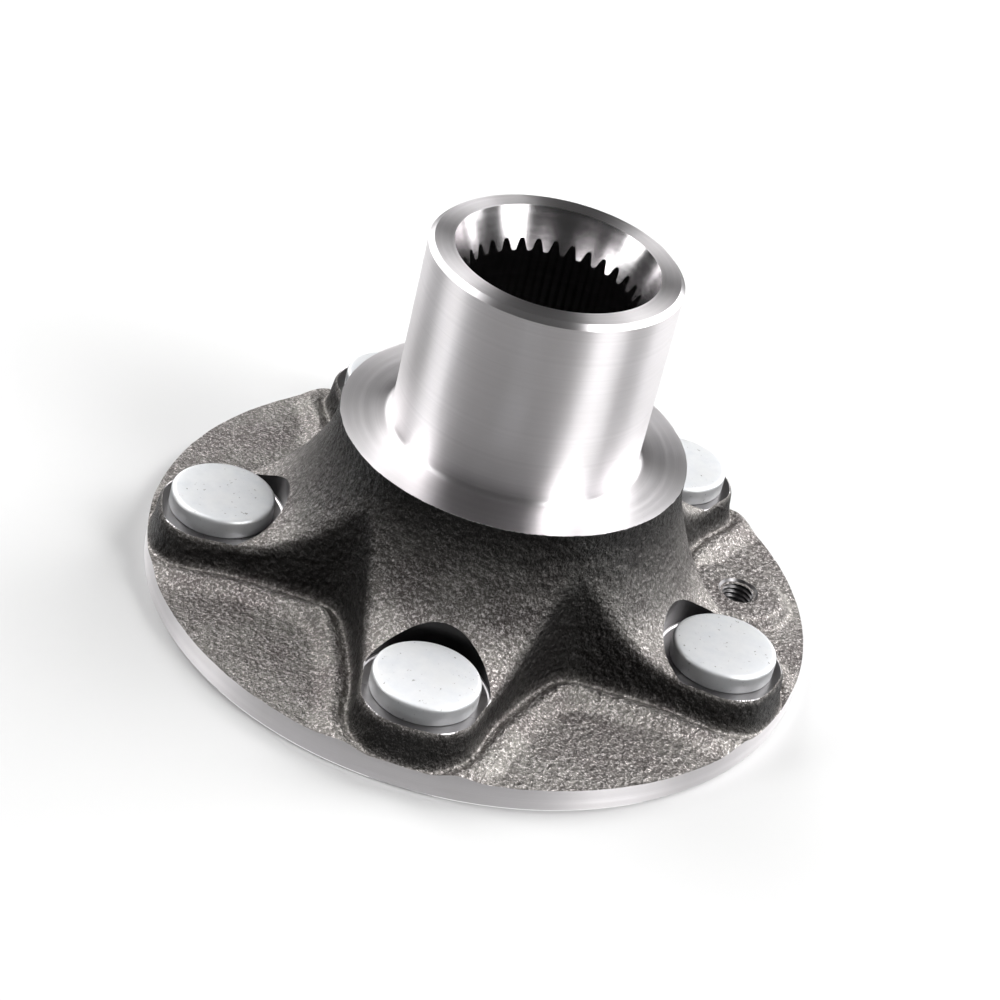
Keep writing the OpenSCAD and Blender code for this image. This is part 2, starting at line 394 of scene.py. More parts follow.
def half_outline():
    """Foot of the walls at the height of the stud seats, from a pocket's middle to a boss's front."""
    axis = polar(STUD_CIRCLE_R, HALF_SECTOR)
    reach = [(np.linalg.norm(polar(arch_r(q), q) - axis), q) for q in np.arange(0, HALF_SECTOR, 0.05)]
    meet_q = min(reach)[1]
    meet_a = angle_of(polar(arch_r(meet_q), meet_q) - axis) - HALF_SECTOR
    points = []
    for i in range(SIDE_POINTS):
        q = meet_q * i / SIDE_POINTS
        points.append(polar(arch_r(q), q))
    for i in range(BOSS_POINTS + 1):
        p = axis + polar(BOSS_R, HALF_SECTOR + meet_a * (1 - i / BOSS_POINTS))
        r = np.linalg.norm(p)
        points.append(p * soft_min(r, RIM_WALL_R, RIM_BLEND) / r)
    return points


def ridge_distance(p, out):
    """How far in from the outline the drafted wall meets the flare, found step by step."""
    d = 0.0
    for _ in range(12):
        d = (SEAT_Z - flare_z(max(BARREL_R, np.linalg.norm(p + out * d)))) / WALL_SLOPE
    return d


def bezier(a, b, c, t):
    return a * (1 - t) ** 2 + b * 2 * t * (1 - t) + c * t * t


def point(p, z):
    return np.array([p[0], p[1], z])


def pad_lift(x, y, z):
    """The pad round the screw hole, blended into the web."""
    px, py = polar(SCREW_R, SCREW_ANGLE)
    d = math.hypot(x - px, y - py)
    pad = PAD_Z - PAD_DROP * ease((d - PAD_R + PAD_BLEND_IN) / PAD_BLEND_W)
    return -soft_min(-z, -pad, PAD_SOFTNESS)


def barrel_and_flare(start):
    """Points down the barrel and along the flare, to start."""
    r = np.linalg.norm(start)
    line = [point(start * BARREL_R / r, z) for z in BARREL_HEIGHTS]
    for j in range(FLARE_ROWS + 1):
        here = BARREL_R + (r - BARREL_R) * (j / FLARE_ROWS) ** FLARE_SPREAD
        line.append(point(start * here / r, flare_z(here)))
    return line


def lip_and_web(p, out, q, begin, valley_z):
    """Points from the foot of a wall over its lip, and on along the web to past the rim."""
    line = []
    web_z, rise = web(np.linalg.norm(p)), lip_h(q)
    crest_d = LIP_INSET + (BOSS_LIP_INSET - LIP_INSET) * ease(q / HALF_SECTOR)
    lip_end = crest_d + LIP_WIDTH
    for j in range(1, LIP_ROWS + 1):
        s = begin + (lip_end - begin) * (j / LIP_ROWS) ** LIP_SPREAD
        at = p + out * s
        if s < crest_d:
            up = ease((s - begin) / (crest_d - begin))
            z = valley_z + (web_z + rise - valley_z) * up
        else:
            far = (s - crest_d) / (lip_end - crest_d)
            base = web(np.linalg.norm(at))
            z = base + (web_z - base) * (1 - ease(far * 2)) + rise * (1 - ease(far)) ** LIP_FALL
        line.append(point(at, max(z, SKIN_LOWEST)))
    edge = line[-1][:2]
    edge_r = np.linalg.norm(edge)
    end_r = max(FLANGE_R, edge_r) + PAST_CUT
    for j in range(1, WEB_ROWS + 1):
        r = edge_r + (end_r - edge_r) * j / WEB_ROWS
        line.append(point(edge * r / edge_r, web(r)))
    return [point((x, y), pad_lift(x, y, z)) for x, y, z in line]


def skin_line(p, out, q):
    """One line of points across the forging, from the top of the barrel to past the rim."""
    d = ridge_distance(p, out)
    ridge = p + out * d
    back = min(RIDGE_ROUND, (np.linalg.norm(ridge) - BARREL_R) / 3)
    line = barrel_and_flare(ridge - out * back)
    wall_z = SEAT_Z - WALL_SLOPE * d
    below = point(ridge + out * (RIDGE_ROUND / WALL_SLOPE), wall_z - RIDGE_ROUND)
    first = line[-1]
    for t in range(1, RIDGE_ROWS + 1):
        line.append(bezier(first, point(ridge, wall_z), below, t / RIDGE_ROWS))
    valley_z = max(web(np.linalg.norm(p)) + lip_h(q) * VALLEY_SHARE - VALLEY_DEPTH, SKIN_LOWEST)
    foot_d = (SEAT_Z - valley_z) / WALL_SLOPE
    foot = point(p + out * foot_d, valley_z)
    above = point(p + out * (foot_d - FOOT_ROUND / WALL_SLOPE), valley_z + FOOT_ROUND)
    for t in range(1, WALL_ROWS + 1):
        line.append(below + (above - below) * t / WALL_ROWS)
    beyond = point(p + out * (foot_d + FOOT_REACH), valley_z)
    for t in range(1, FOOT_ROWS + 1):
        line.append(bezier(above, foot, beyond, t / FOOT_ROWS))
    line += lip_and_web(p, out, q, foot_d + FOOT_REACH, valley_z)
    line.append(point(line[-1], -PILOT_H - PAST_CUT))
    return line


def relaxed(ring, times):
    """Evens out a closed ring of points, so that a tight corner opens into a curve."""
    for _ in range(times):
        ring = (np.roll(ring, 1, axis=0) + 2 * ring + np.roll(ring, -1, axis=0)) / 4
    return ring


def forging_points():
    """Columns of points round the forging, one for each point of the pockets' and bosses' outline."""
    half = half_outline()
    n = len(half) - 1
    sector = [half[i] * (1, -1) for i in range(n, 0, -1)] + half[:n]
    steps = list(range(n, 0, -1)) + list(range(n))
    ring, offs, places = [], [], steps * STUD_COUNT
    for s in range(STUD_COUNT):
        a = math.radians(FIRST_STUD + HALF_SECTOR + s * SECTOR)
        c, w = math.cos(a), math.sin(a)
        for p in sector:
            ring.append(np.array([p[0] * c - p[1] * w, p[0] * w + p[1] * c]))
            offs.append(abs(angle_of(p)))
    ring = np.array(ring)
    corner = np.exp(-((np.array(places) - SIDE_POINTS) / CORNER_SPREAD) ** 2)[:, None]
    ring = relaxed(ring, EVEN_ALONG) * (1 - corner) + relaxed(ring, EVEN_CORNERS) * corner
    along = np.roll(ring, -1, axis=0) - np.roll(ring, 1, axis=0)
    out = np.stack([along[:, 1], -along[:, 0]], axis=1)
    out = relaxed(out / np.linalg.norm(out, axis=1, keepdims=True), EVEN_DIRECTIONS)
    out /= np.linalg.norm(out, axis=1, keepdims=True)
    return np.array([skin_line(p, out[i], offs[i]) for i, p in enumerate(ring)])


def rough(p):
    """Height of the waves and lumps that the dies and the blasting leave, in millimetres."""
    v = Vector(p)
    return WAVE_H * noise.noise(v / WAVE_L) + LUMP_H * noise.noise(v / LUMP_L + LUMP_SHIFT)


def raw_forging():
    """The forging, closed over its barrel and under its flange, with a rough skin."""
    piece = folded("hub_forging", forging_points())
    mesh = piece.data
    at, out = mesh_values(mesh.vertices, "co"), mesh_values(mesh.vertices, "normal")
    waves = np.array([rough(p) for p in at / MM])
    mesh.vertices.foreach_set("co", (at + out * waves[:, None] * MM).ravel())
    mesh.update()
    return piece


# Turned shapes, made by pushing a circle along a profile

def ring_out(r, z, last, dx=0.0, dy=0.0):
    """Extrudes the selected ring to radius r and height z, from last = (radius, height)."""
    bpy.ops.mesh.extrude_region_move(TRANSFORM_OT_translate={"value": (0, 0, (z - last[1]) * MM)})
    k = r / last[0]
    bpy.ops.transform.resize(value=(k, k, 1), center_override=(dx * MM, dy * MM, z * MM))


def turned(name, profile, segments, dx=0.0, dy=0.0, closed=False):
    """Turns a profile of (radius, height) round a vertical axis through (dx, dy)."""
    deselect()
    r, z = profile[0]
    bpy.ops.mesh.primitive_circle_add(vertices=segments, radius=r * MM, fill_type="NOTHING",
                                      location=(dx * MM, dy * MM, z * MM))
    piece = settle(named(name))
    edit(piece)
    bpy.ops.mesh.select_mode(type="EDGE")
    bpy.ops.mesh.select_all(action="SELECT")
    last = profile[0]
    for r, z in profile[1:] + ([profile[0]] if closed else []):
        ring_out(r, z, last, dx, dy)
        last = (r, z)
    weld(TURNED_WELD)
    if not closed:
        fill_ends()
    face_outward()
    leave()
    return piece


def spline_radius(degrees):
    """Radius of the splined wall: grooves with slightly hollow flanks between the teeth."""
    pitch = 360.0 / TEETH
    flank_from, flank_to, hollow = 0.12, 0.37, 0.35
    x = abs(((degrees - SPLINE_PHASE) / pitch + 0.5) % 1.0 - 0.5)
    t = clamp((x - flank_from) / (flank_to - flank_from))
    return SPLINE_ROOT_R + (SPLINE_TIP_R - SPLINE_ROOT_R) * (hollow * ease(t) + (1 - hollow) * t)


def lathe_profile(seat_middle, bore_middle):
    """Outline that the lathe cuts, from the mouth of the bore out, down, round and up the bore."""
    f = SEAT_FILLET
    profile = [(MOUTH_R, HUB_TOP), (SNOUT_R - SNOUT_CHAMFER, HUB_TOP),
               (SNOUT_R, HUB_TOP - SNOUT_CHAMFER), (SNOUT_R, seat_middle)]
    for degrees in range(0, 91, 15):
        a = math.radians(degrees)
        profile.append((SNOUT_R + f - f * math.cos(a), SHOULDER_Z + f - f * math.sin(a)))
    profile += [(FLANGE_R, SHOULDER_Z), (FLANGE_R, RIM_CHAMFER), (FLANGE_R - RIM_CHAMFER, 0.0),
                (PILOT_R, 0.0), (PILOT_R, PILOT_CHAMFER - PILOT_H),
                (PILOT_R - PILOT_CHAMFER, -PILOT_H), (NUT_RECESS_R + RECESS_CHAMFER, -PILOT_H),
                (NUT_RECESS_R, -PILOT_H + RECESS_CHAMFER), (NUT_RECESS_R, NUT_SEAT_Z)]
    profile += [(SPLINE_ROOT_R + BORE_CHAMFER, NUT_SEAT_Z), (SPLINE_ROOT_R, NUT_SEAT_Z + BORE_CHAMFER),
                (SPLINE_ROOT_R, bore_middle), (SPLINE_ROOT_R, HUB_TOP - MOUTH_L)]
    return profile


def machined_envelope():
    """What the lathe leaves: every turned face outside, and the splined bore inside."""
    seat_middle, bore_middle, clear = 66.0, 46.0, 0.3
    profile = lathe_profile(seat_middle, bore_middle)
    piece = turned("hub_machined", profile, TEETH * 16, closed=True)
    slope = (MOUTH_R - SPLINE_ROOT_R) / MOUTH_L
    for v in piece.data.vertices:
        x, y, z = v.co / MM
        r = math.hypot(x, y)
        if r < SPLINE_ROOT_R + clear and z > NUT_SEAT_Z + clear:
            wall = spline_radius(math.degrees(math.atan2(y, x)))
            if z > bore_middle + 1:
                z = HUB_TOP - (MOUTH_R - wall) / slope
            elif z < bore_middle - 1:
                z = NUT_SEAT_Z + BORE_CHAMFER + (SPLINE_ROOT_R - wall)
            v.co = Vector((x * wall / r, y * wall / r, z)) * MM
    return piece


def thread_share(z, a, pitch):
    """Share of the thread depth at height z and angle a in turns: 0 on a crest, 1 in a root."""
    crest, flank = 0.08, 0.34
    x = abs((z / pitch - a + 0.5) % 1.0 - 0.5)
    return clamp((x - crest) / flank)


def stud_hole_cutter(angle):
    """Countersink, shank hole and spot face of one stud, open upward past the forging."""
    dx, dy = polar(STUD_CIRCLE_R, angle)
    corner, bend, below, top = 0.5, 0.15, -1.0, 44.0
    profile = [(STUD_SINK_R, below), (STUD_HOLE_R, STUD_SINK_Z), (STUD_HOLE_R, SEAT_Z),
               (SPOT_R - corner, SEAT_Z), (SPOT_R - bend, SEAT_Z + bend), (SPOT_R, SEAT_Z + corner),
               (SPOT_R, top)]
    return turned("stud_hole", profile, 120, dx, dy)


def screw_hole_cutter():
    """The tapped hole as a threaded core with a countersink at both ends."""
    dx, dy = polar(SCREW_R, SCREW_ANGLE)
    columns, low, high = 72, -1.0, PAD_Z + 1.5
    sink_r, deepest = SCREW_MAJOR_R + 0.15, SCREW_MAJOR_R + 1.4
    heights = np.linspace(low, high, 126)
    points = np.empty((columns, len(heights), 3))
    for i in range(columns):
        a = i / columns
        for j, z in enumerate(heights):
            depth = 1 - thread_share(z, a, SCREW_PITCH)
            r = SCREW_MAJOR_R - (SCREW_MAJOR_R - SCREW_CORE_R) * depth
            sink = sink_r + max(0.5 - z, z - PAD_Z + 0.55)
            if sink > sink_r:
                r = max(r, min(sink, deepest))
            points[i, j] = (dx + r * math.cos(a * math.tau), dy + r * math.sin(a * math.tau), z)
    return folded("screw_hole", points)


def boolean(piece, tool, operation):
    """Cuts the piece with the tool, or cuts it down to the tool, and uses the tool up."""
    activate(piece)
    step = piece.modifiers.new(tool.name, "BOOLEAN")
    step.operation = operation
    step.solver = "MANIFOLD"
    step.object = tool
    bpy.ops.object.modifier_apply(modifier=step.name)
    bpy.data.objects.remove(tool)


def merge_flats(piece, heights):
    """Joins the slivers that the cuts leave in the flat turned faces."""
    mesh = piece.data
    z = mesh_values(mesh.vertices, "co")[:, 2] / MM
    flat = np.min([np.abs(z - h) for h in heights], axis=0) < FLAT_WITHIN
    chosen = [all(flat[v] for v in face.vertices) for face in mesh.polygons]
    edit(piece)
    bpy.ops.mesh.select_mode(type="FACE")
    bpy.ops.mesh.select_all(action="DESELECT")
    leave()
    mesh.polygons.foreach_set("select", chosen)
    edit(piece)
    bpy.ops.mesh.dissolve_limited(angle_limit=math.radians(1))
    leave()


def sharp_border(piece, slot):
    """A crisp edge all round the faces that carry one finish."""
    edit(piece)
    bpy.ops.mesh.select_mode(type="FACE")
    bpy.ops.mesh.select_all(action="DESELECT")
    piece.active_material_index = slot
    bpy.ops.object.material_slot_select()
    bpy.ops.mesh.region_to_loop()
    bpy.ops.mesh.mark_sharp()
    leave()


def from_axis(x, y, r, angle):
    """Distance from the vertical axis at radius r and the given angle."""
    px, py = polar(r, angle)
    return np.hypot(x - px, y - py)


def spot_face_slots(slots, x, y, z, up):
    """The spot faces, stud holes and countersinks, with a bright turned corner round each face."""
    edge, corner, hair = 0.03, 0.45, 0.02
    for i in range(STUD_COUNT):
        d = from_axis(x, y, STUD_CIRCLE_R, stud_angle(i))
        faced = (d < SPOT_R + edge) & (z > SEAT_Z - hair)
        low = z < SEAT_Z + corner
        slots[faced & (low | (abs(up) < 0.3))] = SPOT
        slots[(d < STUD_SINK_R + 0.15) & (z < SEAT_Z)] = SPOT
        slots[faced & low & (d > SPOT_R - 0.52)] = TURNED


def finish_slots(x, y, z, up):
    """The finish of each face, from its centre and from up, the height of its normal."""
    near = 0.1
    r = np.hypot(x, y)
    slots = np.full(len(x), FORGED)
    slots[((r > FLANGE_R - 0.2) & (abs(up) < 0.5)) | (z < RIM_CHAMFER + near)] = TURNED
    slots[(r < NUT_RECESS_R + near) & (z < NUT_SEAT_Z + near)] = TURNED
    slots[(r < SHOULDER_R + 2) & (z > SHOULDER_Z - 0.05)] = TURNED
    slots[(r < SNOUT_R + near) & (z > SHOULDER_Z + 0.3)] = GROUND
    inside = (r < MOUTH_R) & (z > NUT_SEAT_Z + near) & (up < 0.9)
    slots[inside] = BORE
    slots[inside & (up > 0.25)] = CONE
    spot_face_slots(slots, x, y, z, up)
    tapped = from_axis(x, y, SCREW_R, SCREW_ANGLE) < SCREW_MAJOR_R + 1.5
    slots[tapped & (up < 0.9) & (z < PAD_Z + 1)] = TAPPED
    return slots.astype(np.int32)


def cut_hub():
    """The forging, cut down to what the lathe leaves, then spot-faced, drilled and tapped."""
    piece = raw_forging()
    boolean(piece, machined_envelope(), "INTERSECT")
    for i in range(STUD_COUNT):
        boolean(piece, stud_hole_cutter(stud_angle(i)), "DIFFERENCE")
    boolean(piece, screw_hole_cutter(), "DIFFERENCE")
    piece.name = piece.data.name = "hub_body"
    edit(piece)
    weld(WELD)
    face_outward()
    leave()
    merge_flats(piece, (0.0, -PILOT_H, NUT_SEAT_Z, SHOULDER_Z, HUB_TOP))
    return piece


def hub_body(finishes):
    """The finished hub, each face with its own finish, and crisp edges round the lead-in cone, the spot
    faces and the tapped hole.
    """
    piece = cut_hub()
    mesh = piece.data
    mesh.materials.clear()
    for finish in finishes:
        mesh.materials.append(finish)
    x, y, z = mesh_values(mesh.polygons, "center").T / MM
    up = mesh_values(mesh.polygons, "normal")[:, 2]
    mesh.polygons.foreach_set("material_index", finish_slots(x, y, z, up))
    smooth(piece)
    for slot in (CONE, SPOT, TAPPED):
        sharp_border(piece, slot)
    return piece


# Studs

def stud_profile():
    """Rows of (radius, height, kind) down a stud. The kind is plain, knurled or threaded."""
    plain, knurled, threaded = range(3)
    top, crown = SEAT_Z + HEAD_H, 0.17
    rows = [(0.4, top, plain), (4.0, top - 0.02, plain), (8.0, top - 0.07, plain)]
    rows += [(10.2, top - 0.13, plain)]
    for a in range(10, 91, 16):
        lean, drop = math.sin(math.radians(a)), 1 - math.cos(math.radians(a))
        rows.append((HEAD_R - EDGE_ROUND * (1 - lean), top - crown - EDGE_ROUND * drop, plain))
    rows += [(HEAD_R, SEAT_Z + 0.45, plain), (HEAD_R - 0.12, SEAT_Z + 0.12, plain),
             (HEAD_R - 0.45, SEAT_Z, plain), (KNURL_R + 0.5, SEAT_Z, plain),
             (KNURL_R - 0.05, SEAT_Z - 0.3, plain)]
    rows += [(KNURL_R, SEAT_Z - 0.6, knurled), (KNURL_R, KNURL_END_Z + 0.7, knurled),
             (KNURL_R - 0.6, KNURL_END_Z, plain)]
    rows += [(NECK_R, KNURL_END_Z - 0.15, plain), (NECK_R, 0.45, plain)]
    for z in np.arange(0.0, STUD_TIP_Z + TIP_CHAMFER, -THREAD_PITCH / 8):
        rows.append((THREAD_R, z, threaded))
    for t in np.linspace(0, 0.94, 8):
        kind = threaded if t < 0.5 else plain
        rows.append((THREAD_R - TIP_CHAMFER * t, STUD_TIP_Z + TIP_CHAMFER * (1 - t), kind))
    rows += [(THREAD_R - TIP_CHAMFER - 0.1, STUD_TIP_Z, plain), (2.0, STUD_TIP_Z, plain)]
    return rows, knurled, threaded


def stud_points():
    """One stud round the vertical axis: crowned head, knurled shoulder, neck and thread."""
    columns = 144
    rows, knurled, threaded = stud_profile()
    points = np.empty((columns, len(rows), 3))
    for i in range(columns):
        a = i / columns
        for j, (r, z, kind) in enumerate(rows):
            if kind == knurled:
                r += KNURL_PATTERN[i % len(KNURL_PATTERN)]
            elif kind == threaded:
                depth = THREAD_DEPTH * thread_share(z, a, THREAD_PITCH)
                r = min(r, THREAD_R - 0.06 - depth * min(1.0, (0.4 - z) / THREAD_PITCH))
            points[i, j] = (r * math.cos(a * math.tau), r * math.sin(a * math.tau), z)
    return points


def wheel_studs(finish):
    """The stud is modelled once and copied round the flange, each copy with its own mesh."""
    own_turn = 11
    first = folded("stud", stud_points())
    smooth(first)
    first.data.materials.append(finish)
    studs = []
    for i in range(STUD_COUNT):
        dx, dy = polar(STUD_CIRCLE_R, stud_angle(i))
        stud = first.copy()
        stud.data = first.data.copy()
        stud.name = stud.data.name = f"stud_{i + 1}"
        bpy.context.collection.objects.link(stud)
        turn = Matrix.Rotation(math.radians(i * SECTOR + own_turn * i), 4, "Z")
        stud.data.transform(Matrix.Translation((dx * MM, dy * MM, 0)) @ turn)
        studs.append(stud)
    bpy.data.objects.remove(first)
    return studs


# Finishes

class Nodes:
    """Adds nodes to a tree. A tuple (node, output) or a plain value may feed an input."""

    def __init__(self, tree):
        self.tree = tree

    def feed(self, value, socket):
        if isinstance(value, tuple) and hasattr(value[0], "outputs"):
            self.tree.links.new(value[0].outputs[value[1]], socket)
        else:
            socket.default_value = value

    def add(self, kind, settings=(), **feeds):
        """A node with its settings. Inputs are given by name, or as in0, in1 and so on."""
        node = self.tree.nodes.new(kind)
        for key, value in dict(settings).items():
            setattr(node, key, value)
        for key, value in feeds.items():
            if key.startswith("in"):
                socket = node.inputs[int(key[2:])]
            else:
                socket = [s for s in node.inputs if s.name == key.replace("_", " ") and s.enabled][0]
            self.feed(value, socket)
        return node

    def math(self, operation, a, b=0.0):
        return self.add("ShaderNodeMath", {"operation": operation}, in0=a, in1=b), 0

    def length(self, vector):
        node = self.add("ShaderNodeVectorMath", {"operation": "LENGTH"}, in0=vector)
        return node, "Value"

    def ramp(self, fac, stops):
        """Colours or greys by place, between the stops in a straight line."""
        node = self.add("ShaderNodeValToRGB", in0=fac)
        ramp = node.color_ramp
        while len(ramp.elements) < len(stops):
            ramp.elements.new(0.5)
        for element, (place, value) in zip(ramp.elements, stops):
            element.position = place
            element.color = grey(value)
        return node, 0

    def mix(self, fac, a, b, blend="MIX"):
        """Colour b over colour a. Inputs 0, 6 and 7 of the node are the ones for colours."""
        node = self.add("ShaderNodeMix", {"data_type": "RGBA", "blend_type": blend},
                        in0=fac, in6=a, in7=b)
        return node, 2

    def group(self, tree, **values):
        """A node of the given group, with its inputs set."""
        node = self.add("ShaderNodeGroup", {"node_tree": tree})
        for name, value in values.items():
            node.inputs[name].default_value = value
        return node


def grey(value, tint=PLAIN):
    return (value * tint[0], value * tint[1], value * tint[2], 1.0)


def node_group(name, inputs, outputs):
    """A new group with plain number sockets. Gives its nodes, its input node and its output node."""
    group = bpy.data.node_groups.new(name, "ShaderNodeTree")
    for label, value in inputs.items():
        socket = group.interface.new_socket(name=label, in_out="INPUT", socket_type="NodeSocketFloat")
        socket.default_value = value
    for label in outputs:
        group.interface.new_socket(name=label, in_out="OUTPUT", socket_type="NodeSocketFloat")
    n = Nodes(group)
    return n, n.add("NodeGroupInput"), n.add("NodeGroupOutput")


def blasted_grain():
    """Shot-blasted or pitted metal: grain height, bright specks, broad stains and sparse pits."""
    n, given, out = node_group("blasted_grain", {"Grain": 2600.0, "Stain": 90.0},
                               ("Height", "Specks", "Stains", "Pits"))
    place = n.add("ShaderNodeTexCoord"), "Object"
    grain, stain = (given, "Grain"), (given, "Stain")
    fine = n.add("ShaderNodeTexNoise", Vector=place, Scale=grain, Detail=3.0, Roughness=0.7)
    coarse = n.math("MULTIPLY", grain, 0.37)
    lumps = n.add("ShaderNodeTexNoise", Vector=place, Scale=coarse, Detail=2.0, Roughness=0.55)
    cells = n.add("ShaderNodeTexVoronoi", Vector=place, Scale=coarse)
    height = n.math("ADD", n.math("MULTIPLY", (fine, 0), 0.55), n.math("MULTIPLY", (lumps, 0), 0.9))
    dimples = n.math("MULTIPLY", (cells, 0), 0.45)
    broad = n.add("ShaderNodeTexNoise", Vector=place, Scale=stain, Detail=5.0, Roughness=0.6)
    spaced = n.math("MULTIPLY", grain, 0.55)
    sparse = n.add("ShaderNodeTexNoise", Vector=place, Scale=spaced, Detail=2.0)
    n.feed(n.math("ADD", height, dimples), out.inputs["Height"])
    n.feed(n.ramp((fine, 0), [(0.50, 0.0), (0.66, 1.0)]), out.inputs["Specks"])
    n.feed(n.ramp((broad, 0), [(0.35, 0.0), (0.65, 1.0)]), out.inputs["Stains"])
    n.feed(n.ramp((sparse, 0), [(0.68, 0.0), (0.76, 1.0)]), out.inputs["Pits"])
    return n.tree


def tool_lines():
    """Turning or grinding lines: rings about the hub's axis, by radius and height."""
    n, given, out = node_group("tool_lines", {"Lines": 5000.0}, ("Height", "Tone"))
    place = n.add("ShaderNodeTexCoord"), "Object"
    split = n.add("ShaderNodeSeparateXYZ", Vector=place)
    flat = n.add("ShaderNodeCombineXYZ", X=(split, "X"), Y=(split, "Y"))
    radius = n.math("MULTIPLY", n.length((flat, 0)), 0.87)
    along = n.math("ADD", radius, n.math("MULTIPLY", (split, "Z"), 1.13))
    one_way = {"noise_dimensions": "1D"}
    fine = n.add("ShaderNodeTexNoise", one_way, W=along, Scale=(given, "Lines"), Detail=3.0)
    sparse = n.math("MULTIPLY", (given, "Lines"), 0.12)
    wide = n.add("ShaderNodeTexNoise", one_way, W=along, Scale=sparse, Detail=2.0)
    n.feed((fine, 0), out.inputs["Height"])
    tone = n.math("ADD", n.math("MULTIPLY", (fine, 0), 0.5), n.math("MULTIPLY", (wide, 0), 0.5))
    n.feed(tone, out.inputs["Tone"])
    return n.tree


def shader(name):
    """A new material, its nodes and its main shader."""
    finish = bpy.data.materials.new(name)
    finish.use_nodes = True
    return finish, Nodes(finish.node_tree), finish.node_tree.nodes["Principled BSDF"]


def plain_shader(name):
    """A new material without its main shader, its nodes and the socket of its surface."""
    finish, n, bsdf = shader(name)
    n.tree.nodes.remove(bsdf)
    return finish, n, n.tree.nodes["Material Output"].inputs[0]


def bumped(n, bsdf, height, strength, distance):
    bump = n.add("ShaderNodeBump", Strength=strength, Distance=distance, Height=height)
    n.feed((bump, 0), bsdf.inputs["Normal"])


def slope_painted_light(n, colour, stops):
    """The colour, multiplied by a tone that follows the slope of the surface: painted shade and painted
    highlight.
    """
    facing = n.add("ShaderNodeTexCoord"), "Normal"
    slope = n.add("ShaderNodeSeparateXYZ", Vector=facing), "Z"
    return n.mix(1.0, colour, n.ramp(slope, stops), "MULTIPLY")


def forged_finish(grain):
    """Shot-blasted forging: dark warm grey scale, bright broken grains, painted shade and highlight by
    slope.
    """
    finish, n, bsdf = shader("forged_scale")
    use = n.group(grain, Grain=1700.0, Stain=85.0)
    base = n.mix((use, "Stains"), grey(0.18, (1.13, 1.0, 0.96)), grey(0.33, (1.04, 1.0, 0.92)))
    speckled = n.mix((use, "Specks"), base, grey(1.0, (1.0, 0.94, 0.92)))
    # Painted shade on steep walls and a painted highlight on lip crests and ridge rounds, by slope
    n.feed(slope_painted_light(n, speckled, FORGED_PAINTED_SHADE_AND_HIGHLIGHT), bsdf.inputs["Base Color"])
    n.feed(n.ramp((use, "Specks"), [(0.0, 0.40), (1.0, 0.24)]), bsdf.inputs["Roughness"])
    bsdf.inputs["Metallic"].default_value = 0.8
    bumped(n, bsdf, (use, "Height"), strength=1.0, distance=0.0010)
    return finish


def machined_finish(name, lines, grain):
    """Cut or ground steel with rings from the tool, and painted shade on the steep walls of the spot
    faces and tapped hole.
    """
    tone, roughness, count, depth, spread = MACHINED[name]
    finish, n, bsdf = shader(name)
    rings = n.group(lines, Lines=count)
    stains = n.group(grain, Grain=3800.0, Stain=60.0)
    base = n.mix((rings, "Tone"), grey(tone * 0.82, ROSY), grey(tone * 1.08, ROSY))
    share = n.math("MULTIPLY", (stains, "Stains"), 0.22)
    colour = n.mix(share, base, grey(tone * 0.72, (1.03, 0.99, 0.95)))
    # Painted shade on the steep walls of the spot faces and the tapped hole
    if name in PAINTED_SHADE_FINISHES:
        colour = slope_painted_light(n, colour, RECESS_PAINTED_SHADE)
    n.feed(colour, bsdf.inputs["Base Color"])
    ringed = n.math("MULTIPLY", (rings, "Tone"), roughness * 0.5)
    n.feed(n.math("ADD", ringed, roughness * 0.75), bsdf.inputs["Roughness"])
    bsdf.inputs["Metallic"].default_value = 1.0
    bsdf.inputs["Anisotropic"].default_value = spread
    bsdf.inputs["Anisotropic Rotation"].default_value = 0.25
    tangent = n.add("ShaderNodeTangent", {"direction_type": "RADIAL", "axis": "Z"})
    n.feed((tangent, 0), bsdf.inputs["Tangent"])
    bumped(n, bsdf, (rings, "Height"), strength=0.6, distance=depth)
    return finish


def zinc_finish(grain):
    """Bright zinc plate on the studs, with faint pits, handling marks and painted shade on the heads'
    sides.
    """
    finish, n, bsdf = shader("zinc_plate")
    use = n.group(grain, Grain=1900.0, Stain=160.0)
    base = n.mix((use, "Stains"), grey(0.86, (0.98, 1.0, 1.03)), grey(0.97, (0.99, 1.0, 1.01)))
    pitted = n.mix((use, "Pits"), base, grey(0.36, (1.0, 0.98, 0.95)))
    # Painted shade: the heads' sides darker than their tops
    n.feed(slope_painted_light(n, pitted, ZINC_SIDE_PAINTED_SHADE), bsdf.inputs["Base Color"])
    n.feed(n.ramp((use, "Stains"), [(0.0, 0.48), (1.0, 0.38)]), bsdf.inputs["Roughness"])
    bsdf.inputs["Metallic"].default_value = 0.5
    height = n.math("SUBTRACT", n.math("MULTIPLY", (use, "Height"), 0.35), (use, "Pits"))
    bumped(n, bsdf, height, strength=0.4, distance=0.00003)
    return finish


def mirrored_or_through(n, path):
    """1 on what a mirroring or clear surface shows, else 0."""
    return n.math("MAXIMUM", (path, "Is Glossy Ray"), (path, "Is Transmission Ray"))


